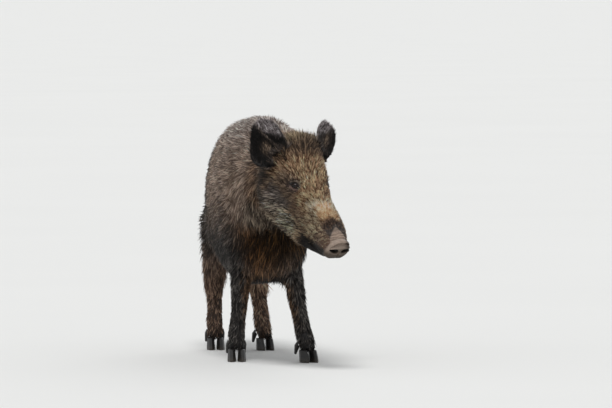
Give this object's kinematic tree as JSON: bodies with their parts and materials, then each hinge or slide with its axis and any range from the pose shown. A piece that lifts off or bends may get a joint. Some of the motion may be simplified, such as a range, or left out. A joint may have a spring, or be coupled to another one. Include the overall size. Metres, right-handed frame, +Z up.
{
  "type": "wild boar",
  "caption": "Young wild boar, life size, standing on four hoofed legs with its head lowered and turned a little to its left; a still model for display.",
  "frame": {"origin": "on the floor, under the middle of the animal's bounding box", "axes": "+Z up, the boar faces -Y, and its own left side is +X"},
  "size_m": [0.2564, 1.028, 0.6175],
  "materials": {
    "coat": "coarse grizzled brown bristles",
    "dark_coat": "short blackish hair",
    "snout": "bare wrinkled skin",
    "eye": "wet and glossy",
    "hoof": "satin horn"
  },
  "bodies": {
    "root": {"front_left_leg": "dark_coat", "front_right_leg": "dark_coat", "hind_left_leg": "dark_coat", "hind_right_leg": "dark_coat", "trunk": "coat", "neck": "coat", "snout_disc": "snout", "lower_jaw": "coat", "head": "coat", "eye_left": "eye", "eye_right": "eye", "ear_left": "dark_coat", "ear_right": "dark_coat", "tail": "dark_coat", "front_left_outer_hoof": "hoof", "front_left_outer_dewclaw": "hoof", "front_left_inner_hoof": "hoof", "front_left_inner_dewclaw": "hoof", "front_right_outer_hoof": "hoof", "front_right_outer_dewclaw": "hoof", "front_right_inner_hoof": "hoof", "front_right_inner_dewclaw": "hoof", "hind_left_outer_hoof": "hoof", "hind_left_outer_dewclaw": "hoof", "hind_left_inner_hoof": "hoof", "hind_left_inner_dewclaw": "hoof", "hind_right_outer_hoof": "hoof", "hind_right_outer_dewclaw": "hoof", "hind_right_inner_hoof": "hoof", "hind_right_inner_dewclaw": "hoof"}
  },
  "joints": []
}
